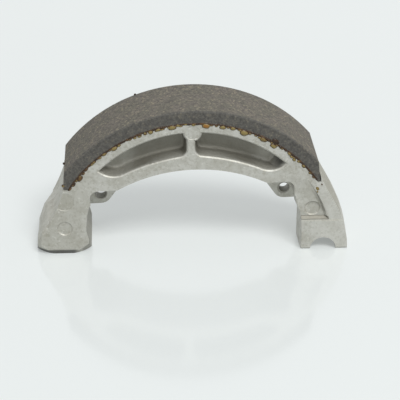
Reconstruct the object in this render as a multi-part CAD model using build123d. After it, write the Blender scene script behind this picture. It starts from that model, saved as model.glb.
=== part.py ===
"""Bonded drum brake shoe: a die-cast aluminium shoe, its friction lining and the adhesive between them.

Millimetres. The shoe stands on its two feet on the plane Z = 0. Y runs along the drum's axis, and the
shoe's middle plane is Y = 0. The drum's axis passes through X = 0, just below the feet.
"""
from build123d import *
import os
from math import cos, radians, sin, sqrt, tan

# --- driving dimensions: drum, lining and bond ---
DRUM_RADIUS = 50.0            # working radius of the lining's outer face
SHOE_WIDTH = 22.0             # along the drum's axis
LINING_THICKNESS = 4.0
LINING_HALF_ANGLE = 51.26     # degrees to each end of the rubbing face, which puts them 78 mm apart
END_FLARE = 5.0               # degrees, the lining's ends lean outward towards their toes
CAM_TOE = 1.7                 # each toe is cut off square this far above its feather edge
PIN_TOE = 0.2
BOND_THICKNESS = 0.2          # cured adhesive under the lining
END_CLEARANCE = 0.3           # from each end of the lining to the casting's stop face
LINING_EDGE_CHAMFER = 0.35
DRUM_AXIS_DROP = 2.2          # the drum's axis lies this far below the plane the feet stand on
SHOE_LEAN = 2.15              # degrees, the arch leans this much towards the cam foot

# --- driving dimensions: arch of the casting ---
TABLE_THICKNESS = 2.85        # curved table that carries the lining, beside the rib
TABLE_THICKENING = 0.45       # the table is this much thicker at the pockets' tips
TABLE_MID_THICKENING = 0.15   # and this much half way there
CROWN_DEPTH = 15.1            # from the table's outer face to the underside, at the crown
ARCH_RADIUS = 48.7            # underside of the inner flange
LEG_INSET = 7.7               # inner side of each leg at its root, measured from the stop face
FLAT_LENGTH = 8.6             # the underside runs flat this far, up to the leg
LEG_ROOT_DEPTH = 4.9          # below that flat the arch gives way to the leg
LEG_LAP = 1.0                 # the leg's root reaches this far above the arch's foot
ARCH_CORNER_RADIUS = 2.5
ROOT_INSET = 2.0              # the leg's root closes this far inside its inner side
ROOT_RISE = 6.0               # and this far above its foot

# --- driving dimensions: pockets, rib and ejector pads ---
POCKET_DEPTH = 5.2
POCKET_DRAFT = 8.0            # degrees
POCKET_FLOOR_FILLET = 1.2
POCKET_LIP = 0.35             # eased edge round a pocket's mouth
LIP_SLOPE = 45.0              # degrees
POCKET_HEIGHT = 7.65          # beside the rib
RIB_WIDTH = 2.4
RIB_CORNER_RADIUS = 2.4
# points on a pocket's lower edge as the height left there and degrees from the rib, then its tip's angle
CAM_POCKET = (7.4, 22.0), (6.55, 32.5), (4.05, 40.1), 42.0
PIN_POCKET = (7.35, 24.0), (6.35, 35.0), (3.65, 41.8), 43.2
PIN_POCKET_END_SLOPE = 30.0   # degrees, that pocket's end wall leans back this much
PAD_RADIUS = 2.8              # round ejector pad at the top of the rib
PAD_OFFSET_X = 0.6
PAD_MARK_RADIUS = 2.2
PAD_MARK_DEPTH = 0.15
MARK_RADIUS = 2.1             # ejector marks on the legs: distance beyond the stop face, height
MARK_DEPTH = 0.35
MARK_DRAFT = 40.0             # degrees
CAM_MARK = 1.1, 8.9
PIN_MARK = -2.65, 14.0
FAINT_MARK = 1.0, 18.1
FAINT_MARK_RADIUS = 2.9
FAINT_MARK_DEPTH = 0.12

# --- driving dimensions: spring lugs ---
LUG_THICKNESS = 4.0
# hole's distance inside the leg, its depth below the arch's flat and its radius, then the lug's
# radius and the slope in degrees of its upper edge
CAM_LUG = 3.2, 5.1, 1.8, 3.4, 52.0
PIN_LUG = 2.3, 6.3, 1.6, 3.55, 57.0
LUG_ROOT = 3.0                # the lug reaches this far above the arch's flat
LUG_REACH = 6.0               # and this far past its hole into the leg

# --- driving dimensions: legs ---
# each profile: the stop's height above the lining's inner face, the bend and the end of the outer
# side's upper arc, the outer corners down to the floor, and the inner corners from the floor up.
# x is measured from the stop face, away from the middle; z from the leg's top for the arc, and from
# the floor for the corners
SHOULDER = 6.5                # distance from mid-width of the shoulder profiles
EDGE_DEPTH = 1.0              # a leg's upright edges round over within this much of each face
EDGE_SHARE = 0.55             # how far they have widened towards the shoulder by then
CAM_FACE = (0.4, ((3.7, -1.2), (5.4, -4.6)), ((6.3, 8.3), (8.2, 6.3), (8.6, 4.0), (8.5, 0)),
            ((-5.9, 0), (-6.1, 4.4), (-5.4, 7.6), (-5.8, 13.2)))
CAM_SHOULDER = (0.4, ((2.5, 0.7), (4.2, -3.1)), ((6.6, 11.4), (8.4, 8.2), (9.9, 4.0), (10.1, 0)),
                ((-6.9, 0), (-7.0, 5.0), (-5.8, 8.5), (-6.1, 13.5)))
CAM_MIDDLE = (0.7, ((2.8, 1.0), (4.8, -2.2)), ((7.1, 12.5), (8.6, 9.3), (9.7, 4.5), (10.1, 0)),
              ((-6.9, 0), (-7.1, 4.9), (-5.9, 8.4), (-6.3, 13.5)))
PIN_FACE = (1.1, ((2.5, -0.1), (3.6, -1.9)), ((5.4, 13.9), (7.1, 9.6), (8.5, 3.5), (8.8, 0)),
            ((-5.7, 0), (-5.7, 5.0), (-6.15, 13.2), (-7.3, 15.6)))
PIN_SHOULDER = (1.3, ((3.2, -0.7), (4.6, -3.2)), ((6.6, 12.5), (8.1, 8.4), (9.2, 2.6), (9.4, 0)),
                ((-5.9, 0), (-5.95, 5.0), (-6.1, 11.5), (-7.0, 13.6)))
PIN_MIDDLE = (1.6, ((4.0, -1.3), (5.4, -4.1)), ((7.1, 12.1), (8.5, 8.2), (9.9, 2.0), (10.2, 0)),
              ((-5.9, 0), (-5.95, 5.0), (-6.05, 10.0), (-7.0, 12.2)))
PIN_REAR_DRAFT = 1.6          # the anchor leg's inner side falls back this much towards the rear face
CAM_BEVEL = 0.5, 1.45         # front and rear bottom edges of the cam foot: depth, height
PIN_BEVEL = 0.5, 0.6
CAM_ROUND_RADIUS = 10.0       # the cam foot's bottom corners are rounded to this radius in plan
CAM_ROUND_SLOPE = 37.0        # degrees from the upright
CAM_ROUND_OFFSET = 1.7        # mid-foot, beyond the stop face
PIN_SEAT_RADIUS = 4.1         # half-round seat on the anchor pin
PIN_SEAT_OFFSET = 1.2         # beyond the stop face
RELIEF_DEPTH = 1.0            # the anchor leg's face is sunk this much inside its rim
RELIEF_DRAFT = 45.0           # degrees
RELIEF_BASE = 11.4            # height of the ledge below that relief
RELIEF_TOP = 25.0             # height at which it runs out
RELIEF_MARGIN = 0.15          # its floor ends this far inside the line of the table's inner face
LEDGE_DEPTH = 0.25            # second ledge, across the whole leg
LEDGE_BASE = 10.0
LEDGE_TOP = 17.0

# --- driving dimensions: squeezed-out adhesive ---
# place from the middle (0) to the end of the rubbing face (1 at the anchor side), how far the
# bead's centre hangs below the bond, and its radius
FRONT_BEADS = ((-0.6, 0.5, 0.9), (-0.24, 0.5, 0.9), (-0.135, 0.7, 1.0), (0.117, 0.7, 1.1),
               (0.244, 0.7, 0.9), (0.41, 0.8, 1.2), (0.564, 0.7, 1.0), (0.66, 1.0, 1.0))
REAR_BEADS = (-0.64, 0.5, 1.0), (-0.04, 0.6, 1.1), (0.27, 0.5, 0.9), (0.53, 0.6, 1.1)
BEAD_PROUD = 0.35             # a bead stands out this much from the front or rear face

# --- worked out from the above ---
half_width = SHOE_WIDTH / 2
lining_inner = DRUM_RADIUS - LINING_THICKNESS
table_radius = lining_inner - BOND_THICKNESS
pocket_top = table_radius - TABLE_THICKNESS
half_chord = DRUM_RADIUS * sin(radians(LINING_HALF_ANGLE))
end_height = DRUM_RADIUS * cos(radians(LINING_HALF_ANGLE))
stop_x = half_chord + END_CLEARANCE
leg_x = stop_x - LEG_INSET
flat_x = leg_x - FLAT_LENGTH
crown_z = table_radius - CROWN_DEPTH
flat_z = crown_z - ARCH_RADIUS + sqrt(ARCH_RADIUS ** 2 - flat_x ** 2)
leg_top = flat_z - LEG_ROOT_DEPTH
lean = radians(SHOE_LEAN)
CAM, PIN = -1, 1              # the two sides of the shoe: cam foot at -X, anchor foot at +X


def facing_plane(y):
    """Upright plane at depth y: its x is X, its y is Z, and it faces the front."""
    return Plane(origin=(0, y, 0), x_dir=(1, 0, 0), z_dir=(0, -1, 0))


def arch_plane(y):
    """The same, centred on the drum's axis and leaning with the arch."""
    return Plane(origin=(0, y, -DRUM_AXIS_DROP), x_dir=(cos(lean), 0, sin(lean)), z_dir=(0, -1, 0))


def on_circle(radius, x):
    """Height at which the circle of this radius about the drum's axis passes x."""
    return sqrt(radius * radius - x * x)


def polar(radius, angle):
    """Point at this radius and angle from the arch's centre line."""
    return radius * sin(radians(angle)), radius * cos(radians(angle))


def from_arch(point):
    """X, Z of a point given in the arch's own leaning frame."""
    x, z = point
    return x * cos(lean) - z * sin(lean), x * sin(lean) + z * cos(lean) - DRUM_AXIS_DROP


def end_x(height, clearance=0.0):
    """Distance from the arch's centre line to a lining end's flared face, at this height."""
    return half_chord + clearance + (end_height - height) * tan(radians(END_FLARE))


def toe_z(toe):
    """Height at which a toe is cut off square."""
    return on_circle(lining_inner, half_chord) + toe


def ring_between_ends(inner, outer, width):
    """Arc-shaped block between two radii, cut off by the flared ends and square at both toes."""
    ring = Circle(outer) - Circle(inner)
    ring &= Polygon((-end_x(0), 0), (end_x(0), 0), (end_x(outer), outer), (-end_x(outer), outer),
                    align=None)
    for side, toe in ((CAM, CAM_TOE), (PIN, PIN_TOE)):
        beyond = side * 2 * DRUM_RADIUS
        ring -= Polygon((0, 0), (beyond, 0), (beyond, toe_z(toe)), (0, toe_z(toe)), align=None)
    return extrude(arch_plane(0) * ring, amount=width / 2, both=True)


def arch_end(side, toe):
    """Corners of one end of the arch: shelf under the lining's toe, stop, root and crown."""
    shelf_z = toe_z(toe) - BOND_THICKNESS
    corners = [(on_circle(table_radius, shelf_z), shelf_z), (end_x(shelf_z, END_CLEARANCE), shelf_z),
               (end_x(leg_top, END_CLEARANCE), leg_top), (leg_x, leg_top), (leg_x, flat_z),
               (flat_x, flat_z)]
    return [(side * x, z) for x, z in corners]


def arch_body():
    """Full-width arch: table, web and inner flange in one block, down to the roots of the legs."""
    left, right = arch_end(CAM, CAM_TOE), arch_end(PIN, PIN_TOE)
    face = make_face(ThreePointArc(left[0], (0, table_radius), right[0]) + Polyline(*right)
                     + ThreePointArc(right[-1], (0, crown_z), left[-1]) + Polyline(*reversed(left)))
    corners = [v for v in face.vertices()
               if abs(abs(v.X) - leg_x) < 1e-4 and abs(v.Y - flat_z) < 1e-4]
    face = fillet(corners, ARCH_CORNER_RADIUS)
    return extrude(arch_plane(0) * face, amount=half_width, both=True)


def leg_section(y, side, profile):
    """One level of a leg, closed inside the arch's root."""
    stop_rise, arc, outer, inner = profile
    stop_z = on_circle(lining_inner + stop_rise, stop_x)
    start = from_arch((side * end_x(stop_z, END_CLEARANCE), stop_z))
    deep_z = leg_top + LEG_LAP
    root = [from_arch((side * leg_x, deep_z)),
            from_arch((side * (leg_x + ROOT_INSET), leg_top + ROOT_RISE)),
            from_arch((side * end_x(deep_z, END_CLEARANCE), deep_z))]
    _, top_z = from_arch((side * stop_x, leg_top))
    bend, arc_end = [(side * (stop_x + x), top_z + z) for x, z in arc]
    outer = [(side * (stop_x + x), z) for x, z in outer]
    inner = [(side * (stop_x + x), z) for x, z in inner]
    outline = ThreePointArc(start, bend, arc_end) + Polyline(arc_end, *outer, *inner, *root, start)
    return facing_plane(y) * make_face(outline)


def between(profile, other, share):
    """Profile this share of the way from one profile to another."""
    if isinstance(profile, tuple):
        return tuple(between(a, b, share) for a, b in zip(profile, other))
    return profile + (other - profile) * share


def fall_back(profile, amount):
    """The same profile with its inner side moved outward."""
    *rest, inner = profile
    return (*rest, tuple((x + amount, z) for x, z in inner))


def leg(side, front, shoulder, middle, rear_shoulder, rear):
    """Leg made of ruled blocks between its profiles, from the front face to the rear face."""
    levels = ((-half_width, front), (EDGE_DEPTH - half_width, between(front, shoulder, EDGE_SHARE)),
              (-SHOULDER, shoulder), (0, middle), (SHOULDER, rear_shoulder),
              (half_width - EDGE_DEPTH, between(rear, rear_shoulder, EDGE_SHARE)), (half_width, rear))
    sections = [leg_section(y, side, profile) for y, profile in levels]
    blocks = [loft(pair, ruled=True) for pair in zip(sections, sections[1:])]
    solid = blocks[0]
    for block in blocks[1:]:
        solid += block
    return solid


def cam_leg():
    """Leg with the flared pad that the cam pushes on."""
    return leg(CAM, CAM_FACE, CAM_SHOULDER, CAM_MIDDLE, CAM_SHOULDER, CAM_FACE)


def pin_leg():
    """Leg with the half-round seat on the anchor pin."""
    rear_shoulder = fall_back(PIN_SHOULDER, PIN_REAR_DRAFT * SHOULDER / half_width)
    solid = leg(PIN, PIN_FACE, PIN_SHOULDER, PIN_MIDDLE, rear_shoulder,
                fall_back(PIN_FACE, PIN_REAR_DRAFT))
    seat = extrude(facing_plane(0) * Pos(stop_x + PIN_SEAT_OFFSET, 0) * Circle(PIN_SEAT_RADIUS),
                   amount=SHOE_WIDTH, both=True)
    return solid - seat


def lug_hole_place(lug):
    """Centre of a lug's hole in the arch's frame, at +X."""
    inset, depth, *_ = lug
    return leg_x - inset, flat_z - depth


def spring_lug(side, lug):
    """Plate in the middle plane: round about its hole, with a slope up into the arch."""
    *_, radius, slope = lug
    x, height = lug_hole_place(lug)
    turn = radians(slope - 90)
    bend_turn = (turn - radians(90)) / 2
    tangent = x - radius * cos(turn), height + radius * sin(turn)
    bend = x - radius * cos(bend_turn), height + radius * sin(bend_turn)
    base = x, height - radius
    top = flat_z + LUG_ROOT
    reach = (top - tangent[1]) / tan(radians(slope))
    arc = ThreePointArc(base, bend, tangent)
    line = Polyline(tangent, (tangent[0] - reach, top), (x + LUG_REACH, top), (x + LUG_REACH, base[1]),
                    base)
    face = make_face(arc + line)
    if side == CAM:
        face = mirror(face, about=Plane.YZ)
    return extrude(arch_plane(0) * face, amount=LUG_THICKNESS / 2, both=True)


def spring_hole(side, lug):
    """Round hole through the lug for the hook of a return spring."""
    x, height = lug_hole_place(lug)
    return extrude(arch_plane(0) * Pos(side * x, height) * Circle(lug[2]), amount=SHOE_WIDTH, both=True)


def pocket_outline(side, edge):
    """Crescent between the table and the inner flange, from the rib to its pointed end, drawn at +X."""
    *lower, tip_angle = edge
    middle, end, turn = [polar(pocket_top - height, angle) for height, angle in lower]
    rib_x = RIB_WIDTH / 2
    base = rib_x, on_circle(pocket_top - POCKET_HEIGHT, rib_x)
    top = rib_x, on_circle(pocket_top, rib_x)
    tip = polar(pocket_top - TABLE_THICKENING, tip_angle)
    crown = polar(pocket_top - TABLE_MID_THICKENING, tip_angle / 2)
    face = make_face(ThreePointArc(base, middle, end) + ThreePointArc(end, turn, tip)
                     + ThreePointArc(tip, crown, top) + Line(top, base))
    corner = [v for v in face.vertices() if abs(v.X - base[0]) < 1e-4 and abs(v.Y - base[1]) < 1e-4]
    return fillet(corner, RIB_CORNER_RADIUS) - Pos(side * PAD_OFFSET_X, pocket_top) * Circle(PAD_RADIUS)


def end_wedge(tip_angle, slope):
    """Metal left in a pocket's pointed end, under its leaning end wall."""
    inward = -cos(radians(tip_angle)), sin(radians(tip_angle)), 0
    outward = sin(radians(tip_angle)), cos(radians(tip_angle)), 0
    run = tan(radians(slope))
    beyond = 2 * POCKET_DEPTH
    profile = Polygon((-beyond, -beyond), (-run * beyond, -beyond), (run * beyond, beyond),
                      (-beyond, beyond), align=None)
    wedge_plane = Plane(origin=(*polar(pocket_top, tip_angle), 0), x_dir=inward, z_dir=outward)
    return extrude(wedge_plane * profile, amount=DRUM_RADIUS, both=True)


def pocket(side, edge, end_slope):
    """Drafted pocket tool with an eased mouth, entering from the rear face."""
    outline = pocket_outline(side, edge)
    tool = extrude(outline, amount=POCKET_DEPTH, taper=POCKET_DRAFT)
    if end_slope:
        tool -= end_wedge(edge[-1], end_slope)
    floor_edges = tool.faces().sort_by(Axis.Z)[-1].edges()
    tool = fillet(floor_edges, POCKET_FLOOR_FILLET)
    tool += extrude(Pos(0, 0, POCKET_LIP) * outline, amount=-POCKET_LIP, taper=-LIP_SLOPE)
    if side == CAM:
        tool = mirror(tool, about=Plane.YZ)
    return arch_plane(half_width) * tool


def face_recess(position, radius, depth):
    """Shallow round ejector mark in the front face, with a conical wall."""
    disc = facing_plane(-half_width + depth) * Pos(*position) * Circle(radius)
    return extrude(disc, amount=2 * depth, taper=-MARK_DRAFT)


def leg_mark(side, mark, radius, depth):
    """Ejector mark on a leg's front face."""
    x, z = mark
    return face_recess((side * (stop_x + x), z), radius, depth)


def ramp_cut(outline, base, top, depth, draft=0.0):
    """Cut into the front face, full depth at its base and running out at its top."""
    floor_y = depth - half_width
    ramp = Polygon((floor_y, base), (-half_width, top), (-half_width - depth, top),
                   (-half_width - depth, base - depth), (floor_y, base - depth), align=None)
    return (extrude(facing_plane(floor_y) * outline, amount=2 * depth, taper=-draft)
            & extrude(Plane.YZ * ramp, amount=DRUM_RADIUS))


def leg_relief():
    """Sunk area on the anchor leg's front face, inside the line of the table."""
    rim = pocket_top - RELIEF_MARGIN
    inner_x = stop_x + PIN_FACE[-1][-1][0] - ARCH_CORNER_RADIUS
    top = on_circle(rim, inner_x) - DRUM_AXIS_DROP
    low, middle, high = [(on_circle(rim, z + DRUM_AXIS_DROP), z)
                         for z in (RELIEF_BASE, (RELIEF_BASE + top) / 2, top)]
    outline = make_face(ThreePointArc(low, middle, high) + Polyline(high, (inner_x, RELIEF_BASE), low))
    return ramp_cut(outline, RELIEF_BASE, RELIEF_TOP, RELIEF_DEPTH, RELIEF_DRAFT)


def leg_ledge():
    """Ledge across the anchor leg's front face, where the foot stands a little proud."""
    inner_x = stop_x + PIN_FACE[-1][-1][0] - ARCH_CORNER_RADIUS
    band = Polygon((inner_x, LEDGE_BASE), (DRUM_RADIUS, LEDGE_BASE), (DRUM_RADIUS, LEDGE_TOP),
                   (inner_x, LEDGE_TOP), align=None)
    return ramp_cut(band, LEDGE_BASE, LEDGE_TOP, LEDGE_DEPTH)


def foot_bevel(side, bevel):
    """Two prisms that bevel one foot's bottom edges, at the front and rear faces."""
    depth, height = bevel
    slope = height / depth
    beyond = 1.0
    triangle = Polygon((-half_width - beyond, height + slope * beyond), (-half_width - beyond, -beyond),
                       (depth - half_width + beyond / slope, -beyond), align=None)
    front = extrude(Plane.YZ * triangle, amount=side * DRUM_RADIUS)
    return front + mirror(front, about=Plane.XZ)


def cam_foot_rounding():
    """Conical cuts that round the cam foot's bottom corners off, front and rear."""
    beyond = SHOE_WIDTH
    slope = tan(radians(CAM_ROUND_SLOPE))
    low, high = CAM_ROUND_RADIUS - slope * beyond, CAM_ROUND_RADIUS + slope * beyond
    triangle = Polygon((low, -beyond), (high, beyond), (high, -beyond), align=None)
    ring = revolve(Plane.XZ * triangle & Plane.XZ * Pos(beyond, 0) * Rectangle(2 * beyond, 2 * beyond),
                   axis=Axis.Z)
    middle_x = CAM * (stop_x + CAM_ROUND_OFFSET)
    front = Pos(middle_x, CAM_ROUND_RADIUS - half_width, 0) * ring
    front &= Pos(middle_x, -half_width, 0) * Box(SHOE_WIDTH, SHOE_WIDTH, SHOE_WIDTH)
    return front + mirror(front, about=Plane.XZ)


def shoe_casting():
    """The whole die casting."""
    solid = arch_body() + cam_leg() + pin_leg() + spring_lug(CAM, CAM_LUG) + spring_lug(PIN, PIN_LUG)
    for side, edge, lug, end_slope in ((CAM, CAM_POCKET, CAM_LUG, 0),
                                       (PIN, PIN_POCKET, PIN_LUG, PIN_POCKET_END_SLOPE)):
        tool = pocket(side, edge, end_slope)
        solid -= tool + mirror(tool, about=Plane.XZ)
        solid -= spring_hole(side, lug)
    solid -= foot_bevel(CAM, CAM_BEVEL) + foot_bevel(PIN, PIN_BEVEL)
    solid -= cam_foot_rounding()
    solid -= leg_ledge() + leg_relief()
    solid -= face_recess(from_arch((PAD_OFFSET_X, pocket_top)), PAD_MARK_RADIUS, PAD_MARK_DEPTH)
    solid -= leg_mark(CAM, CAM_MARK, MARK_RADIUS, MARK_DEPTH)
    solid -= leg_mark(CAM, FAINT_MARK, FAINT_MARK_RADIUS, FAINT_MARK_DEPTH)
    return solid - leg_mark(PIN, PIN_MARK, MARK_RADIUS, MARK_DEPTH + RELIEF_DEPTH)


def friction_lining():
    """Moulded lining, cut off square at both ends, its rubbing face's edges eased."""
    solid = ring_between_ends(lining_inner, DRUM_RADIUS, SHOE_WIDTH)
    rims = [e for e in solid.edges().filter_by(GeomType.CIRCLE)
            if abs(e.radius - DRUM_RADIUS) < 1e-3]
    return chamfer(rims, LINING_EDGE_CHAMFER)


def bead(side, place, drip, radius):
    """Cap of squeezed-out adhesive over the bond, on the front face (side -1) or the rear face (1)."""
    x, z = from_arch(polar(lining_inner - drip, place * LINING_HALF_ANGLE))
    ball_radius = (radius * radius + BEAD_PROUD * BEAD_PROUD) / (2 * BEAD_PROUD)
    ball = Pos(x, side * (half_width + BEAD_PROUD - ball_radius), z) * Sphere(ball_radius)
    beyond = Pos(x, side * (half_width + ball_radius), z) * Box(4 * radius, 2 * ball_radius, 4 * radius)
    return ball & beyond


def bond_line():
    """Cured adhesive layer, with the beads squeezed out along both edges."""
    solid = ring_between_ends(table_radius, lining_inner, SHOE_WIDTH)
    for side, beads in ((-1, FRONT_BEADS), (1, REAR_BEADS)):
        for placed in beads:
            solid += bead(side, *placed)
    return solid


os.makedirs("parts", exist_ok=True)
for name, make in (("shoe_casting", shoe_casting), ("friction_lining", friction_lining),
                   ("bond_line", bond_line)):
    export_step(make(), f"parts/{name}.step")
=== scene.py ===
"""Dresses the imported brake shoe: satin cast metal, ground lining and squeezed-out adhesive."""

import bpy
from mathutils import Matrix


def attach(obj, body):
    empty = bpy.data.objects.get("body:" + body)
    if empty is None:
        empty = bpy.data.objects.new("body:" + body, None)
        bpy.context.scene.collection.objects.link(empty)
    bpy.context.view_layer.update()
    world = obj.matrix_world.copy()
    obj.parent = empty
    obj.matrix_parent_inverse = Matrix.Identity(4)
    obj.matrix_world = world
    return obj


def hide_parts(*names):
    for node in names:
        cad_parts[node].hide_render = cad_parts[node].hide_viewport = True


bl_info = {
    "name": "Drum Brake Shoe",
    "version": (1, 0, 0),
    "blender": (4, 5, 0),
    "location": "View3D > Sidebar > Brake Shoe",
    "description": "Finishes, squeezed-out adhesive and a plain stage for the brake shoe",
    "category": "Object",
}

from math import cos, prod, radians, sin

import bmesh
import bpy
from bpy.props import FloatProperty, FloatVectorProperty, PointerProperty
from mathutils import Matrix, Vector, noise

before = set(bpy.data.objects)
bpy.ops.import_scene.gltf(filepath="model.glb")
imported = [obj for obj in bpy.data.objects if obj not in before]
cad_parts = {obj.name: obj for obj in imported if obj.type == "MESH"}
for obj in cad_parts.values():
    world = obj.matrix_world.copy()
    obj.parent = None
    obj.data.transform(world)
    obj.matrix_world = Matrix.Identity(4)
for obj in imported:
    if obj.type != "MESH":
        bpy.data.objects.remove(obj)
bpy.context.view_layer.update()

MM = 0.001
SHOE = "shoe_casting"
LINING = "friction_lining"
BOND = "bond_line"

# ---------------------------------------------------------------- sizes shared with the solids
# Millimetres and degrees. Angles along the arch are measured from its leaning centre line.

DRUM_RADIUS = 50.0
LINING_THICKNESS = 4.0
BOND_THICKNESS = 0.2
BOND_RADIUS = DRUM_RADIUS - LINING_THICKNESS    # the adhesive's outer face, under the lining
DRUM_AXIS_DROP = 2.2                            # the drum's axis lies this far below the feet
SHOE_LEAN = 2.15
HALF_WIDTH = 11.0

# places on the casting, as X and Z
PIN_HOLE = 28.4, 17.4           # spring hole beside the anchor foot
CAM_HOLE = -29.1, 16.5          # spring hole beside the cam foot
PIN_MARK = 36.65, 14.0          # ejector mark of the anchor leg
FAINT_MARK = -40.3, 18.1        # upper ejector mark of the cam leg
DENTS = (-45.8, 6.7), (-35.1, 7.8)      # by the sides of the cam foot, with painted shade
PAD_HIGHLIGHT_SPOT = 0.2, 38.5           # painted highlight on the rim of the pad at the top of the rib

# ---------------------------------------------------------------- zones of the finishes
# A zone is where all of its parts overlap. A part is an earlier zone's name, or a coordinate and
# the two places between which the zone fades in. The coordinates, in millimetres, are x, y and z,
# x without its sign (across), the distance from the drum's axis (radius) and the depth in from
# the nearer side face (inset).

CAST_ZONES = {
    # the front face and what lies just behind it
    "front": (("y", -9.3, -9.8),),
    # the pockets, darker as untouched skin and as painted shade under the table, paler towards
    # their tips
    "pocket": (("inset", 0.05, 1.8), ("z", 25.2, 26.2), ("radius", 34.8, 36.0),
               ("radius", 43.6, 42.8)),
    "pocket_arm": ("pocket", ("across", 16.0, 22.0)),
    # painted shadow on the end wall at the anchor-side pocket's tip
    "anchor_pocket_tip": ("pocket", ("x", 23.0, 26.5)),
    # anchor leg
    # the anchor leg, painted paler
    "anchor_leg": (("x", 33.0, 43.0), ("z", 25.0, 23.0)),
    # painted light on the anchor leg's inner side, which faces away from the light
    "anchor_inner_side": (("inset", 0.1, 0.6), ("x", 30.0, 31.5), ("x", 36.0, 34.8),
                          ("z", 20.0, 16.0)),
    "relief": ("front", ("x", 32.0, 33.0), ("radius", 44.1, 43.8), ("z", 10.2, 10.6),
               ("inset", 0.04, 0.20), ("inset", 1.3, 1.15)),
    # painted shade on the relief's ledge, which faces the light
    "relief_ledge": ("relief", ("z", 11.75, 11.45)),
    # painted shadow along the relief's outer wall
    "relief_groove": ("relief", ("radius", 42.3, 42.8), ("z", 12.4, 13.6), ("z", 22.5, 18.0)),
    # painted shade on the anchor leg's outer flank, more on its upper part
    "flank": (("inset", 0.2, 0.6), ("x", 37.0, 38.5), ("radius", 45.6, 46.6)),
    "upper_flank": ("flank", ("z", 10.0, 15.0)),
    # cam leg
    "cam_leg": (("x", -32.0, -37.0),),
    # painted shade on the cam leg's inner side
    "cam_inner_side": (("inset", 0.1, 0.6), ("x", -35.6, -34.8), ("x", -28.0, -31.0),
                       ("z", 14.0, 12.0)),
    # painted contact shadow under the cam foot's sole
    "cam_sole": (("z", 1.8, 1.1), ("x", -35.5, -38.0), ("y", -3.0, -9.0)),
    # the lugs' depth, where the spring holes are
    "lug": (("inset", 8.0, 8.6),),
}
# how much of each colour a zone takes
# the anchor leg painted paler, and painted light on its inner side
BRIGHT_ZONES = {"anchor_leg": 0.32, "anchor_inner_side": 0.45}
# darker zones; on the anchor leg's flank this is painted shade
DARKER_ZONES = {"cam_leg": 0.26, "flank": 0.35, "upper_flank": 0.60, "relief": 0.22}
# the pockets' darkness, partly untouched skin and partly painted shade
POCKET_ZONES = {"pocket": 0.88, "pocket_arm": -0.38}
# painted shade on the relief's ledge and groove and on the cam leg's inner side
PAINTED_SHADE_ZONES = {"relief_ledge": 0.90, "relief_groove": 0.48, "cam_inner_side": 0.55}
# painted shadow at the anchor-side pocket's tip and under the cam foot's sole
PAINTED_SHADOW_ZONES = {"anchor_pocket_tip": 0.72, "cam_sole": 0.80}
# darker rounds on the front face: centre, radius and how much darker; at the dents this is painted
# shade
DARKER_ROUNDS = (
    (PIN_MARK, 2.2, 0.45),
    (FAINT_MARK, 2.8, 0.25),
    (DENTS[0], 0.7, 0.28),
    (DENTS[1], 0.5, 0.28),
)
HOLE_SHADE = 2.0, 0.60          # radius and amount of the painted shade on the walls of the spring holes
PAD_HIGHLIGHT_SHINE = 0.45, 0.90         # radius and amount of the painted highlight on the pad's rim
ROUND_BLUR = 0.15               # half the width of a round's soft edge

LINING_ZONES = {
    "ground": (("radius", DRUM_RADIUS - 0.5, DRUM_RADIUS - 0.2), ("inset", 0.30, 0.55)),
}
GROUND_RAGGEDNESS = 0.6         # how far the ground face's edge wanders, in millimetres

# ---------------------------------------------------------------- adhesive
# Drops on the front face: angle, distance from the drum's axis, half length along the arch, half
# height, how far it stands proud, and tone from burnt (0) through honey to amber (above 1).

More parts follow.
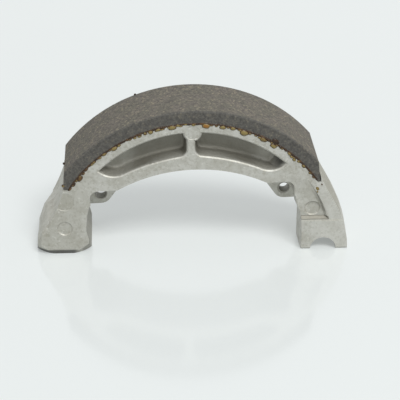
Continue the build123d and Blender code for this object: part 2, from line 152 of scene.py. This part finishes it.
FRONT_DROPS = (
    (-52.6, 45.5, 0.9, 0.5, 0.25, 0.10), (-49.1, 45.2, 1.2, 0.8, 0.45, 0.35),
    (-46.8, 45.8, 0.8, 0.4, 0.30, 0.15), (-44.6, 45.7, 0.9, 0.5, 0.40, 0.30),
    (-42.3, 45.8, 0.7, 0.4, 0.25, 0.10), (-40.4, 45.7, 0.9, 0.5, 0.35, 0.55),
    (-37.9, 45.8, 0.8, 0.4, 0.30, 0.30), (-35.2, 45.7, 0.9, 0.6, 0.40, 0.55),
    (-33.2, 45.9, 0.6, 0.4, 0.25, 0.20), (-30.6, 45.5, 1.2, 0.8, 0.45, 0.80),
    (-27.0, 45.9, 0.9, 0.4, 0.25, 0.05), (-23.1, 46.0, 1.1, 0.5, 0.30, 0.05),
    (-19.7, 45.8, 0.9, 0.5, 0.35, 0.20), (-17.4, 45.8, 0.6, 0.4, 0.30, 0.65),
    (-15.4, 45.5, 0.9, 0.7, 0.40, 0.75), (-12.3, 45.6, 1.1, 0.6, 0.40, 0.72),
    (-9.7, 45.9, 0.7, 0.4, 0.25, 0.25), (-6.9, 45.4, 1.4, 0.9, 0.45, 0.74),
    (-4.6, 45.8, 0.9, 0.5, 0.30, 0.75), (-1.6, 45.9, 0.9, 0.4, 0.25, 0.65),
    (1.6, 45.9, 0.9, 0.4, 0.25, 0.35), (6.0, 45.3, 1.5, 0.95, 0.50, 1.15),
    (9.6, 45.9, 0.7, 0.4, 0.25, 0.15), (12.5, 45.4, 1.2, 0.8, 0.40, 0.72),
    (16.4, 45.6, 1.0, 0.7, 0.40, 0.80), (18.6, 45.8, 0.7, 0.5, 0.30, 0.35),
    (21.0, 45.2, 1.7, 1.1, 0.55, 0.82), (24.0, 45.9, 0.8, 0.4, 0.25, 0.10),
    (26.3, 46.0, 1.0, 0.5, 0.35, 0.05), (28.9, 45.3, 1.4, 0.9, 0.45, 0.58),
    (31.2, 45.9, 0.8, 0.6, 0.35, 0.15), (33.6, 46.6, 1.4, 0.8, 0.40, 0.10),
    (33.9, 44.9, 1.3, 0.8, 0.45, 0.72), (36.6, 45.8, 0.9, 0.5, 0.35, 0.05),
    (39.0, 45.8, 0.7, 0.4, 0.30, 0.15), (41.0, 45.6, 0.9, 0.5, 0.35, 0.75),
    (42.5, 45.3, 0.7, 0.5, 0.35, 0.65), (44.2, 45.1, 0.8, 0.6, 0.35, 0.70),
    (46.4, 45.8, 0.6, 0.4, 0.25, 0.15), (48.8, 45.6, 0.9, 0.6, 0.35, 0.55),
    (51.6, 45.9, 0.8, 0.4, 0.25, 0.10), (54.0, 46.0, 0.8, 0.4, 0.25, 0.05),
    (60.3, 44.5, 0.8, 0.7, 0.20, 0.70), (61.6, 44.0, 0.5, 0.4, 0.15, 0.55),
    (59.7, 46.4, 0.4, 0.3, 0.20, 0.30), (-55.3, 48.0, 0.5, 0.5, 0.20, 0.60),
)
CRUMBS = ((-40.3, -3.6, 27.8), 0.45), ((-17.9, 10.6, 44.6), 0.40)   # place and radius
DROP_ROOT = 0.25                # a drop's centre lies this deep in the face
DROP_LUMPS = 1.4, 0.28          # how close a drop's lumps are, and their size as a share of it
DROP_TONE = 1 / 2, 5 / 6        # shares of its height: the burnt rim ends, the full tone starts

# The dark seam is a close row of small drops. Waves are how fast they change with the angle, and
# where the noise is read.
SEAM_ENDS = -55.3, 57.3
SEAM_STEP = 0.75
UNEVEN_WAVE = 0.55, 4.1
WANDER_WAVE = 0.23, 9.7
PALE_DROP_EVERY = 3             # a paler drop hangs at every third step
THIN_SEAM = -0.25               # but not where the unevenness, about -0.5 to 0.5, is under this

REAR_DROP_REACH = 52.0          # to either side of the arch's centre line
REAR_DROP_STEP = 3.1
REAR_WAVE = 1.0, 2.7, 0.3

FILM_RADII = BOND_RADIUS - BOND_THICKNESS, BOND_RADIUS
FILM_ENDS = -55.0, 57.4
FILM_STEPS = 96

# ---------------------------------------------------------------- stage, in metres and radians

FLOOR_HALF = 3.0
FLOOR_CELLS = 8
BOX_PLACE = 0.45, -0.94, 1.45
BOX_SIZE = 0.90, 0.55
BOX_AIM = 0.0, 0.0, 0.02
CAMERA_PLACE = -0.023392, -0.395864, 0.213539
CAMERA_YAW, CAMERA_PITCH, CAMERA_ROLL = 0.0645, 0.4691, 0.0106
CAMERA_NEAR = 0.01
LENS_MM, SENSOR_MM = 125.9901, 36.0


def arch_point(radius, angle, y):
    """Point at this radius and angle from the leaning arch's centre line, in metres."""
    x, z = radius * sin(radians(angle)), radius * cos(radians(angle))
    lean = radians(SHOE_LEAN)
    leaning_x = x * cos(lean) - z * sin(lean)
    leaning_z = x * sin(lean) + z * cos(lean)
    return MM * Vector((leaning_x, y, leaning_z - DRUM_AXIS_DROP))


# ---------------------------------------------------------------- settings

class CastingSettings(bpy.types.PropertyGroup):
    """Finish of the die casting."""
    metal: FloatVectorProperty(
        name="Metal", description="Colour of the cast skin",
        subtype="COLOR", default=(0.605, 0.600, 0.550), min=0.0, max=1.0)
    # also the colour of the painted shade on the anchor leg's flank and by the cam foot's dents
    stain_and_shade: FloatVectorProperty(
        name="Stain", description="Colour of the duller patches and recesses",
        subtype="COLOR", default=(0.37, 0.355, 0.29), min=0.0, max=1.0)
    # also the colour of the paler anchor leg, the painted light on its inner side and the pad's
    # painted highlight
    bright: FloatVectorProperty(
        name="Bright grains", description="Colour of the grains that catch light",
        subtype="COLOR", default=(0.78, 0.775, 0.72), min=0.0, max=1.0)
    # also the colour of painted shade in the pockets, on the relief's ledge and groove, on the cam
    # leg's inner side and in the spring holes
    dull: FloatVectorProperty(
        name="Pockets", description="Colour of the untouched skin in the pockets",
        subtype="COLOR", default=(0.200, 0.190, 0.155), min=0.0, max=1.0)
    # the colour of the painted shadow at the pocket's tip and under the cam foot's sole
    deep: FloatVectorProperty(
        name="Deep corners", description="Colour of the pocket's deep end and the cam foot's sole",
        subtype="COLOR", default=(0.05, 0.052, 0.050), min=0.0, max=1.0)
    roughness: FloatProperty(
        name="Roughness", description="Roughness of the cast skin",
        subtype="FACTOR", default=0.52, min=0.0, max=1.0)
    grain: FloatProperty(
        name="Grain", description="Size of the skin's fine grain",
        subtype="DISTANCE", unit="LENGTH", default=0.0009, min=0.0001, max=0.01)


class LiningSettings(bpy.types.PropertyGroup):
    """Finish of the friction lining."""
    ground: FloatVectorProperty(
        name="Ground face", description="Colour of the ground rubbing face",
        subtype="COLOR", default=(0.182, 0.170, 0.137), min=0.0, max=1.0)
    side: FloatVectorProperty(
        name="Sides", description="Colour of the moulded sides and ends",
        subtype="COLOR", default=(0.135, 0.130, 0.116), min=0.0, max=1.0)
    fleck: FloatVectorProperty(
        name="Flecks", description="Colour of the fibres and brass chips",
        subtype="COLOR", default=(0.36, 0.315, 0.225), min=0.0, max=1.0)
    rosy: FloatVectorProperty(
        name="Rosy patches", description="Colour of the compound's redder patches",
        subtype="COLOR", default=(0.205, 0.180, 0.155), min=0.0, max=1.0)
    dark: FloatVectorProperty(
        name="Pores", description="Colour of the pores and the dark filler",
        subtype="COLOR", default=(0.055, 0.052, 0.048), min=0.0, max=1.0)
    grit: FloatProperty(
        name="Grit", description="Size of the compound's grit",
        subtype="DISTANCE", unit="LENGTH", default=0.0006, min=0.0001, max=0.01)


class AdhesiveSettings(bpy.types.PropertyGroup):
    """Finish of the cured adhesive."""
    burnt: FloatVectorProperty(
        name="Burnt", description="Colour of the thin, overbaked film",
        subtype="COLOR", default=(0.040, 0.022, 0.012), min=0.0, max=1.0)
    brown: FloatVectorProperty(
        name="Brown", description="Colour of the thin drops",
        subtype="COLOR", default=(0.130, 0.070, 0.025), min=0.0, max=1.0)
    honey: FloatVectorProperty(
        name="Honey", description="Colour of most thick drops",
        subtype="COLOR", default=(0.30, 0.235, 0.085), min=0.0, max=1.0)
    amber: FloatVectorProperty(
        name="Amber", description="Colour of the thickest drops",
        subtype="COLOR", default=(0.36, 0.172, 0.038), min=0.0, max=1.0)
    roughness: FloatProperty(
        name="Roughness", description="Roughness of the adhesive",
        subtype="FACTOR", default=0.30, min=0.0, max=1.0)


class StageSettings(bpy.types.PropertyGroup):
    """Floor and light."""
    floor: FloatVectorProperty(
        name="Floor", description="Colour of the pale sheet under the shoe",
        subtype="COLOR", default=(0.865, 0.902, 0.893), min=0.0, max=1.0)
    sky: FloatVectorProperty(
        name="Sky", description="Colour of the surround",
        subtype="COLOR", default=(0.97, 0.99, 1.0), min=0.0, max=1.0)
    bounce: FloatProperty(
        name="Bounce", description="Share of the floor's paleness in the light it throws back",
        subtype="FACTOR", default=0.45, min=0.0, max=1.0)
    glow: FloatProperty(
        name="Own paleness", description="Share of the floor's paleness that is its own",
        subtype="FACTOR", default=0.28, min=0.0, max=1.0)
    gloss: FloatProperty(
        name="Roughness", description="Roughness of the floor",
        subtype="FACTOR", default=0.12, min=0.0, max=1.0)
    key: FloatProperty(
        name="Overhead light", description="Power of the overhead soft box",
        unit="POWER", default=18.0, min=0.0)
    fill: FloatProperty(
        name="Surround", description="Strength of the pale surround",
        default=0.44, min=0.0)


# ---------------------------------------------------------------- materials

class Wire:
    """One value in a node tree. Arithmetic on it adds Math nodes."""

    def __init__(self, wiring, socket):
        self.wiring = wiring
        self.socket = socket

    def __add__(self, other):
        return self.wiring.math("ADD", self, other)

    def __radd__(self, other):
        return self.wiring.math("ADD", other, self)

    def __sub__(self, other):
        return self.wiring.math("SUBTRACT", self, other)

    def __rsub__(self, other):
        return self.wiring.math("SUBTRACT", other, self)

    def __mul__(self, other):
        return self.wiring.math("MULTIPLY", self, other)

    def __rmul__(self, other):
        return self.wiring.math("MULTIPLY", other, self)

    def __abs__(self):
        return self.wiring.math("ABSOLUTE", self)


class Wiring:
    """A node tree, built from calls that each add a node."""

    def __init__(self, tree):
        self.tree = tree

    def node(self, kind, settings=None, sockets=None, output=0):
        """Adds a node: its settings first, then its sockets' values or links. Gives an output."""
        node = self.tree.nodes.new(kind)
        for name, value in (settings or {}).items():
            setattr(node, name, value)
        for name, value in (sockets or {}).items():
            if isinstance(value, Wire):
                self.tree.links.new(value.socket, node.inputs[name])
            else:
                node.inputs[name].default_value = value
        return Wire(self, node.outputs[output])

    def math(self, operation, *values):
        return self.node("ShaderNodeMath", {"operation": operation}, dict(enumerate(values)))

    def mix(self, factor, a, b):
        """Colour a where the factor is 0 and b where it is 1."""
        a, b = [c if isinstance(c, Wire) else (*c, 1.0) for c in (a, b)]
        return self.node("ShaderNodeMix", {"data_type": "RGBA", "clamp_factor": True},
                         {0: factor, 6: a, 7: b}, output=2)

    def seen(self):
        """1 for camera rays and for the glossy and clear rays that stand in for them, else 0."""
        camera, glossy, clear = [self.node("ShaderNodeLightPath", output=ray) for ray in
                                 ("Is Camera Ray", "Is Glossy Ray", "Is Transmission Ray")]
        return camera + glossy + clear


class Finish(Wiring):
    """A material with one Principled shader."""

    def __init__(self, name, **constants):
        self.material = bpy.data.materials.new(name)
        self.material.use_nodes = True
        super().__init__(self.material.node_tree)
        self.shader = self.tree.nodes["Principled BSDF"]
        for socket, value in constants.items():
            self.shader.inputs[socket.replace("_", " ")].default_value = value
        self.place = self.node("ShaderNodeTexCoord", output="Object")

    def feed(self, socket, value):
        self.tree.links.new(value.socket, self.shader.inputs[socket])

    def paint(self, base, *coats):
        """Lays coats over a base colour. Each coat is how much of it shows, and its colour."""
        for amount, coat in coats:
            base = self.mix(amount, base, coat)
        return base

    def coordinates(self):
        """The coordinates that zones are given in, by name, in millimetres."""
        x, y, z = [self.node("ShaderNodeSeparateXYZ", sockets={0: self.place}, output=axis)
                   * (1 / MM) for axis in "XYZ"]
        return {"x": x, "y": y, "z": z, "across": abs(x), "inset": HALF_WIDTH - abs(y),
                "radius": self.reach(x, z + DRUM_AXIS_DROP)}

    def zones(self, table, coordinates):
        """Masks of a table of zones, by name."""
        masks = {}
        for name, parts in table.items():
            masks[name] = prod(masks[part] if isinstance(part, str)
                               else self.rise(coordinates[part[0]], *part[1:]) for part in parts)
        return masks

    def rise(self, value, low, high):
        """0 at low and beyond it, 1 at high and beyond it, smooth between them."""
        return self.node("ShaderNodeMapRange", {"interpolation_type": "SMOOTHSTEP"},
                         {"Value": value, "From Min": low, "From Max": high})

    def reach(self, x, z):
        """Length of the vector (x, z)."""
        return self.math("SQRT", x * x + z * z)

    def disc(self, coordinates, centre, radius):
        """1 inside this circle of the X-Z plane, 0 outside it."""
        distance = self.reach(coordinates["x"] - centre[0], coordinates["z"] - centre[1])
        return self.rise(distance, radius + ROUND_BLUR, radius - ROUND_BLUR)

    def noise(self, size, detail, roughness=0.6):
        """Clouds with patches of about this size, in metres."""
        return self.node("ShaderNodeTexNoise", sockets={
            "Vector": self.place, "Scale": 1 / size, "Detail": detail, "Roughness": roughness})

    def cells(self, size):
        """Distance from the nearest of many scattered points, as a share of their spacing."""
        return self.node("ShaderNodeTexVoronoi", sockets={"Vector": self.place, "Scale": 1 / size},
                         output="Distance")

    def bump(self, height, distance, strength, under=None):
        """Surface raised by a height of 0 to 1 times a distance, in metres, over another bump."""
        sockets = {"Strength": strength, "Distance": distance, "Height": height}
        if under:
            sockets["Normal"] = under
        return self.node("ShaderNodeBump", sockets=sockets)


def total(masks, shares):
    """Sum of the masks that are named, each times its share."""
    return sum(masks[name] * amount for name, amount in shares.items())


def cast_metal(settings):
    """Satin die-cast skin: mottled, speckled with bright grains, darker in its recesses partly by
    painted shade, with painted light and shade on the legs and a painted highlight on the pad.
    """
    finish = Finish("satin cast aluminium", Metallic=0.45, Roughness=settings.roughness)
    at = finish.coordinates()
    zone = finish.zones(CAST_ZONES, at)
    mottle = finish.noise(3.2 * MM, detail=4.0)
    grain = finish.noise(settings.grain, detail=3.0, roughness=0.65)
    glint = finish.noise(1.1 * MM, detail=2.0, roughness=0.5)
    spark = finish.rise(finish.cells(1.3 * MM), 0.20, 0.08) * finish.rise(mottle, 0.46, 0.56)

    rounds = sum(finish.disc(at, centre, radius) * amount
                 for centre, radius, amount in DARKER_ROUNDS)
    shade_radius, shade = HOLE_SHADE
    holes = finish.disc(at, PIN_HOLE, shade_radius) + finish.disc(at, CAM_HOLE, shade_radius)
    highlight_radius, shine = PAD_HIGHLIGHT_SHINE
    pad_highlight = zone["front"] * finish.disc(at, PAD_HIGHLIGHT_SPOT, highlight_radius)
    paler_leg = zone["anchor_leg"]

    base = finish.paint(
        settings.metal,
        # the anchor leg painted paler, and painted light on its inner side
        (total(zone, BRIGHT_ZONES), settings.bright),
        # darker zones and rounds, with painted shade on the anchor leg's flank and by the cam
        # foot's dents
        (total(zone, DARKER_ZONES) + zone["front"] * rounds, settings.stain_and_shade),
        # mottling and the grain's darker side, both fainter on the anchor leg, which is painted
        # paler
        (finish.rise(mottle, 0.36, 0.66) * (0.38 - 0.14 * paler_leg), settings.stain_and_shade),
        (finish.rise(grain, 0.52, 0.32) * (0.50 - 0.20 * paler_leg), settings.stain_and_shade),
        # grains that catch light, and the painted highlight on the pad's rim
        (finish.rise(glint, 0.60, 0.74) * 0.50, settings.bright),
        (spark * 0.32 + pad_highlight * shine, settings.bright),
        # pockets, darker as untouched skin and as painted shade, paler towards their tips
        (total(zone, POCKET_ZONES), settings.dull),
        # painted shade on the relief's ledge and groove, the cam leg's inner side and the spring
        # holes' walls
        (total(zone, PAINTED_SHADE_ZONES) + zone["lug"] * holes * shade, settings.dull),
        # painted shadow at the anchor-side pocket's tip and under the cam foot's sole
        (total(zone, PAINTED_SHADOW_ZONES), settings.deep),
    )
    finish.feed("Base Color", base)
    finish.feed("Roughness",
                settings.roughness + 0.14 * (mottle - 0.5) + 0.20 * (grain - 0.5))
    skin = finish.bump(grain, 0.12 * MM, strength=0.9)
    finish.feed("Normal", finish.bump(mottle, 0.3 * MM, strength=0.5, under=skin))
    return finish.material


def friction_compound(settings):
    """Resin-bonded compound: coarse ground rubbing face and darker moulded sides, with flecks."""
    finish = Finish("friction compound", Roughness=0.85)
    broad = finish.noise(4.5 * MM, detail=4.0)
    clump = finish.noise(1.5 * MM, detail=3.0)
    grit = finish.noise(settings.grit, detail=3.0)
    scatter = finish.noise(1.7 * MM, detail=2.0, roughness=0.5)
    chips = finish.rise(finish.cells(1.0 * MM), 0.42, 0.22) * finish.rise(scatter, 0.48, 0.60)

    at = finish.coordinates()
    at["inset"] += GROUND_RAGGEDNESS * (clump - 0.5)
    ground = finish.zones(LINING_ZONES, at)["ground"]

    base = finish.paint(
        settings.side,
        (ground, settings.ground),
        (ground * finish.rise(broad, 0.40, 0.60) * 0.60, settings.rosy),
        # clumps, then grit, each with its dark filler and its pale fibres
        (finish.rise(clump, 0.50, 0.30) * 0.40, settings.dark),
        (finish.rise(clump, 0.54, 0.72) * (0.20 + 0.30 * ground), settings.fleck),
        (finish.rise(grit, 0.58, 0.36) * 0.55, settings.dark),
        (finish.rise(grit, 0.62, 0.78) * 0.60, settings.fleck),
        # chips, which show more where they are ground open
        (chips * (0.25 + 0.45 * ground), settings.fleck),
    )
    finish.feed("Base Color", base)
    coarse = finish.bump(grit, 0.12 * MM, strength=0.6)
    finish.feed("Normal", finish.bump(clump, 0.4 * MM, strength=0.55, under=coarse))
    return finish.material


def cured_adhesive(settings):
    """Phenolic adhesive, burnt in the thin film and amber in the thick drops."""
    finish = Finish("cured adhesive", Roughness=settings.roughness, Specular_IOR_Level=0.3)
    tone = finish.node("ShaderNodeAttribute", {"attribute_name": "tone"}, output="Fac")
    swirl = finish.noise(0.8 * MM, detail=3.0)
    tone += (swirl - 0.5) * 0.5
    base = finish.paint(
        settings.burnt,
        (finish.rise(tone, 0.0, 0.40), settings.brown),
        (finish.rise(tone, 0.30, 0.70), settings.honey),
        (finish.rise(tone, 0.75, 1.05), settings.amber),
    )
    finish.feed("Base Color", base)
    finish.feed("Normal", finish.bump(swirl, 0.1 * MM, strength=0.4))
    return finish.material


def pale_sheet(settings):
    """Glossy sheet, as pale as its colour where it is seen, duller in the light it gives back."""
    finish = Finish("pale sheet", Roughness=settings.gloss, IOR=1.5,
                    Emission_Strength=settings.glow)
    seen = finish.seen()
    lit = [(1 - settings.glow) * channel for channel in settings.floor]
    dull = [settings.bounce * channel for channel in settings.floor]
    finish.feed("Base Color", finish.mix(seen, dull, lit))
    finish.feed("Emission Color", finish.mix(seen, (0, 0, 0), settings.floor))
    return finish.material


# ---------------------------------------------------------------- mesh helpers

def new_piece(name, mesh_data, material, smooth=True):
    """Turns a bmesh into an object at the origin."""
    mesh = bpy.data.meshes.new(name)
    mesh_data.to_mesh(mesh)
    mesh_data.free()
    piece = bpy.data.objects.new(name, mesh)
    bpy.context.scene.collection.objects.link(piece)
    mesh.materials.append(material)
    if smooth:
        mesh.shade_smooth()
    return piece


def dress(node, material):
    """Gives a CAD node a material."""
    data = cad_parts[node].data
    data.materials.clear()
    data.materials.append(material)


def waver(angle, closeness, row, layer):
    """Smooth unevenness along the arch, about -0.5 to 0.5."""
    return noise.noise(Vector((angle * closeness, row, layer)))


def add_film(target):
    """Adds the thin arched layer under the lining, spun from its end profile."""
    start, end = FILM_ENDS
    inner, outer = FILM_RADII
    profile = ((inner, -HALF_WIDTH), (outer, -HALF_WIDTH),
               (outer, HALF_WIDTH), (inner, HALF_WIDTH))
    verts = [target.verts.new(arch_point(radius, start, y)) for radius, y in profile]
    first = target.faces.new(verts)
    bmesh.ops.spin(target, geom=[first, *first.edges, *verts], angle=radians(end - start),
                   steps=FILM_STEPS, axis=(0, 1, 0), cent=(0, 0, -DRUM_AXIS_DROP * MM))
    bmesh.ops.recalc_face_normals(target, faces=target.faces)


def add_drop(target, tone_layer, side, angle, radius, along, high, proud, tone):
    """Adds a flattened, uneven drop on the front (side -1) or rear face (1), burnt at its rim."""
    closeness, lumpiness = DROP_LUMPS
    rim, crown = DROP_TONE
    made = bmesh.ops.create_icosphere(target, subdivisions=2, radius=1.0)["verts"]
    for vert in made:
        height = side * vert.co.y
        vert[tone_layer] = tone * min(max((height - rim) / (crown - rim), 0.0), 1.0)
        lump = noise.noise(vert.co * closeness + Vector((angle, radius, side)))
        vert.co *= 1 + lumpiness * lump
    centre = arch_point(radius, angle, side * (HALF_WIDTH - DROP_ROOT))
    turn = Matrix.Rotation(radians(angle - SHOE_LEAN), 4, "Y")
    size = Matrix.Diagonal((along * MM, (proud + DROP_ROOT) * MM, high * MM, 1.0))
    bmesh.ops.transform(target, matrix=Matrix.Translation(centre) @ turn @ size, verts=made)


def add_seam(target, tone_layer, side):
    """Adds the close row of small dark drops along the bond, with paler ones hanging below it."""
    start, end = SEAM_ENDS
    for step in range(int((end - start) / SEAM_STEP)):
        angle = start + step * SEAM_STEP
        uneven = waver(angle, *UNEVEN_WAVE, side)
        wander = waver(angle, *WANDER_WAVE, side)
        add_drop(target, tone_layer, side, angle,
                 radius=BOND_RADIUS - 0.15 * wander - 0.20 * abs(uneven),
                 along=0.75,
                 high=0.38 + 0.30 * abs(uneven),
                 proud=0.16 + 0.14 * abs(wander),
                 tone=0.10 + 0.4 * uneven)
        if step % PALE_DROP_EVERY == 0 and uneven > THIN_SEAM:
            add_drop(target, tone_layer, side, angle + 0.8 * wander,
                     radius=BOND_RADIUS - 0.45 + 0.25 * wander,
                     along=0.60 + 0.45 * abs(wander),
                     high=0.40 + 0.20 * abs(uneven),
                     proud=0.28,
                     tone=0.50 + 0.6 * uneven)


def add_rear_drops(target, tone_layer):
    """Adds uneven drops at even steps along the rear face."""
    angle = -REAR_DROP_REACH
    while angle < REAR_DROP_REACH:
        uneven = waver(angle, *REAR_WAVE)
        add_drop(target, tone_layer, 1, angle + uneven,
                 radius=BOND_RADIUS - 0.4 + 0.4 * uneven,
                 along=0.9 + 0.5 * abs(uneven),
                 high=0.6 + 0.5 * uneven,
                 proud=0.35,
                 tone=0.55 + uneven)
        angle += REAR_DROP_STEP


def add_crumb(target, place, radius):
    """Adds one small crumb of adhesive, its place in millimetres."""
    crumb = Matrix.Translation(MM * Vector(place)) @ Matrix.Scale(radius * MM, 4)
    bmesh.ops.create_icosphere(target, subdivisions=1, radius=1.0, matrix=crumb)


# ---------------------------------------------------------------- operators

class BRAKESHOE_OT_casting(bpy.types.Operator):
    """Give the casting its satin cast skin"""
    bl_idname = "brake_shoe.casting"
    bl_label = "Finish Casting"

    def execute(self, context):
        dress(SHOE, cast_metal(context.scene.brake_shoe_casting))
        return {"FINISHED"}


class BRAKESHOE_OT_lining(bpy.types.Operator):
    """Give the lining its friction compound"""
    bl_idname = "brake_shoe.lining"
    bl_label = "Finish Lining"

    def execute(self, context):
        dress(LINING, friction_compound(context.scene.brake_shoe_lining))
        return {"FINISHED"}


class BRAKESHOE_OT_adhesive(bpy.types.Operator):
    """Lay the adhesive film and the drops squeezed out along both of its edges"""
    bl_idname = "brake_shoe.adhesive"
    bl_label = "Add Adhesive"

    def execute(self, context):
        adhesive = bmesh.new()
        tone_layer = adhesive.verts.layers.float.new("tone")
        add_film(adhesive)
        for side in (-1, 1):
            add_seam(adhesive, tone_layer, side)
        for drop in FRONT_DROPS:
            add_drop(adhesive, tone_layer, -1, *drop)
        add_rear_drops(adhesive, tone_layer)
        for place, radius in CRUMBS:
            add_crumb(adhesive, place, radius)
        material = cured_adhesive(context.scene.brake_shoe_adhesive)
        piece = new_piece("adhesive", adhesive, material)
        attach(piece, "root")
        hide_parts(BOND)
        return {"FINISHED"}


class BRAKESHOE_OT_stage(bpy.types.Operator):
    """Set out the pale floor, the soft light and the camera"""
    bl_idname = "brake_shoe.stage"
    bl_label = "Set Stage"

    def execute(self, context):
        settings = context.scene.brake_shoe_stage
        floor = bmesh.new()
        bmesh.ops.create_grid(floor, x_segments=FLOOR_CELLS, y_segments=FLOOR_CELLS,
                              size=FLOOR_HALF)
        new_piece("floor", floor, pale_sheet(settings), smooth=False)
        self.overhead_box(context.scene, settings.key)
        self.surround(context.scene, settings)
        self.camera(context.scene)
        context.scene.view_settings.view_transform = "Standard"
        return {"FINISHED"}

    @staticmethod
    def overhead_box(scene, power):
        """Soft box over the front right, turned towards the shoe."""
        lamp = bpy.data.lights.new("overhead_box", "AREA")
        lamp.shape = "RECTANGLE"
        lamp.size, lamp.size_y = BOX_SIZE
        lamp.energy = power
        holder = bpy.data.objects.new("overhead_box", lamp)
        holder.location = BOX_PLACE
        aim = Vector(BOX_AIM) - Vector(BOX_PLACE)
        holder.rotation_euler = aim.to_track_quat("-Z", "Y").to_euler()
        scene.collection.objects.link(holder)

    @staticmethod
    def surround(scene, settings):
        """Pale surround, dimmer in the light it gives than where it is seen."""
        world = bpy.data.worlds.new("surround")
        world.use_nodes = True
        wiring = Wiring(world.node_tree)
        dim = [settings.fill * channel for channel in settings.sky]
        shade = wiring.mix(wiring.seen(), dim, settings.sky)
        wiring.tree.links.new(shade.socket, wiring.tree.nodes["Background"].inputs["Color"])
        scene.world = world

    @staticmethod
    def camera(scene):
        """Camera in front of the shoe, a little to its left, looking down on it."""
        ahead = Vector((sin(CAMERA_YAW) * cos(CAMERA_PITCH), cos(CAMERA_YAW) * cos(CAMERA_PITCH),
                        -sin(CAMERA_PITCH)))
        right = Vector((cos(CAMERA_YAW), -sin(CAMERA_YAW), 0.0))
        up = right.cross(ahead)
        side = right * cos(CAMERA_ROLL) + up * sin(CAMERA_ROLL)
        top = up * cos(CAMERA_ROLL) - right * sin(CAMERA_ROLL)
        lens = bpy.data.cameras.new("camera")
        lens.sensor_fit = "HORIZONTAL"
        lens.sensor_width = SENSOR_MM
        lens.lens = LENS_MM
        lens.clip_start = CAMERA_NEAR
        holder = bpy.data.objects.new("camera", lens)
        turn = Matrix((side, top, -ahead)).transposed().to_4x4()
        holder.matrix_world = Matrix.Translation(Vector(CAMERA_PLACE)) @ turn
        scene.collection.objects.link(holder)
        scene.camera = holder


STEPS = (
    ("Casting", "brake_shoe_casting", CastingSettings, BRAKESHOE_OT_casting),
    ("Lining", "brake_shoe_lining", LiningSettings, BRAKESHOE_OT_lining),
    ("Adhesive", "brake_shoe_adhesive", AdhesiveSettings, BRAKESHOE_OT_adhesive),
    ("Stage", "brake_shoe_stage", StageSettings, BRAKESHOE_OT_stage),
)


class BRAKESHOE_PT_panel(bpy.types.Panel):
    """Lists the settings and the steps"""
    bl_idname = "BRAKESHOE_PT_panel"
    bl_label = "Brake Shoe"
    bl_space_type = "VIEW_3D"
    bl_region_type = "UI"
    bl_category = "Brake Shoe"

    def draw(self, context):
        for title, settings, group, step in STEPS:
            box = self.layout.box()
            box.label(text=title)
            for name in group.__annotations__:
                box.prop(getattr(context.scene, settings), name)
            box.operator(step.bl_idname)


CLASSES = (*(group for _, _, group, _ in STEPS), *(step for *_, step in STEPS), BRAKESHOE_PT_panel)


def register():
    for cls in CLASSES:
        bpy.utils.register_class(cls)
    for _, settings, group, _ in STEPS:
        setattr(bpy.types.Scene, settings, PointerProperty(type=group))


def unregister():
    for _, settings, _, _ in STEPS:
        delattr(bpy.types.Scene, settings)
    for cls in reversed(CLASSES):
        bpy.utils.unregister_class(cls)


def main():
    register()
    bpy.ops.brake_shoe.casting()
    bpy.ops.brake_shoe.lining()
    bpy.ops.brake_shoe.adhesive()
    bpy.ops.brake_shoe.stage()


if __name__ == "__main__":
    main()
